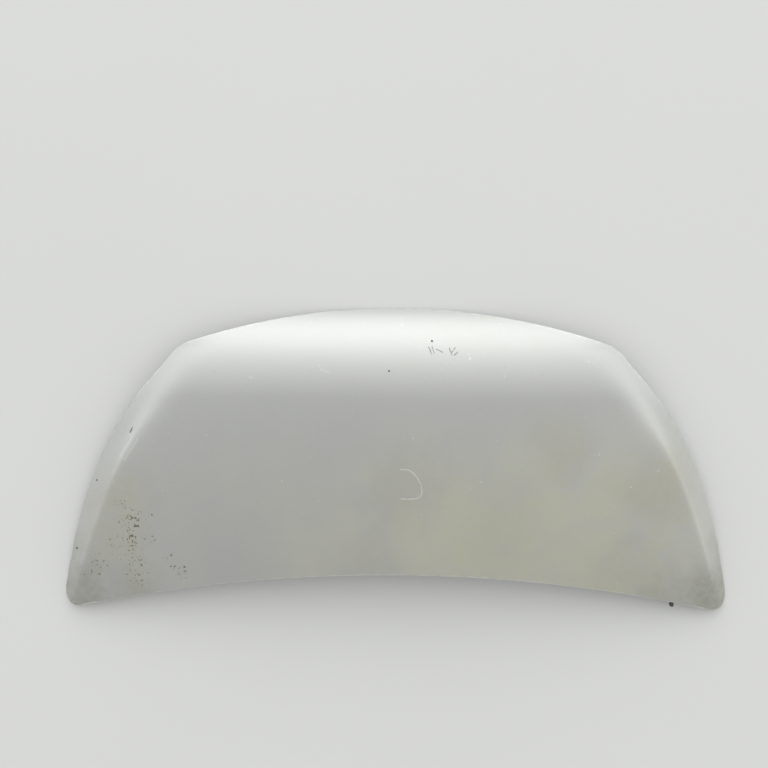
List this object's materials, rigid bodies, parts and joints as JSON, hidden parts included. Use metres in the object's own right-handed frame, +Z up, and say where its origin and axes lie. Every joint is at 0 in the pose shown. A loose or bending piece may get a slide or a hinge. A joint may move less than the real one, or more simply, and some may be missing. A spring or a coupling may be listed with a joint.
{
  "type": "car bonnet",
  "caption": "Pressed steel car bonnet: crowned outer skin hemmed round a ribbed inner panel, with hinge seats, striker, buffers and front seal.",
  "frame": {"origin": "middle of the plan outline, on the ground that the bonnet lies on", "axes": "+X to the right seen from above with the nose at the top, +Y to the nose, +Z up out of the outer face"},
  "size_m": [1.3996, 0.6294, 0.0959],
  "materials": {
    "paint": "silver metallic, clear coat over fine flakes, dusty, with stone chips",
    "inner_paint": "thin satin silver paint over primer",
    "seat_steel": "grey coated pressed steel",
    "zinc": "yellow zinc plate, worn bright on the bar",
    "rubber": "matt black",
    "plastic": "black moulded",
    "mastic": "grey baked mastic"
  },
  "bodies": {
    "root": {"corner_buffer_left": "rubber", "corner_buffer_right": "rubber", "front_seal": "rubber", "hinge_reinforcement_left": "seat_steel", "hinge_reinforcement_right": "seat_steel", "hinge_weld_nut_left_front": "seat_steel", "hinge_weld_nut_left_rear": "seat_steel", "hinge_weld_nut_right_front": "seat_steel", "hinge_weld_nut_right_rear": "seat_steel", "inner_panel": "inner_paint", "latch_reinforcement": "seat_steel", "mastic_pad_01": "mastic", "mastic_pad_02": "mastic", "mastic_pad_03": "mastic", "mastic_pad_04": "mastic", "mastic_pad_05": "mastic", "mastic_pad_06": "mastic", "mastic_pad_07": "mastic", "mastic_pad_08": "mastic", "mastic_pad_09": "mastic", "mastic_pad_10": "mastic", "mastic_pad_11": "mastic", "mastic_pad_12": "mastic", "outer_panel": "paint", "prop_rod_socket": "plastic", "rear_edge_stop": "rubber", "seal_clip_1": "plastic", "seal_clip_2": "plastic", "seal_clip_3": "plastic", "seal_clip_4": "plastic", "seal_clip_5": "plastic", "striker_bolt_left": "zinc", "striker_bolt_right": "zinc", "striker_loop": "zinc", "striker_plate": "zinc", "striker_weld_nut_left": "seat_steel", "striker_weld_nut_right": "seat_steel"}
  },
  "joints": []
}
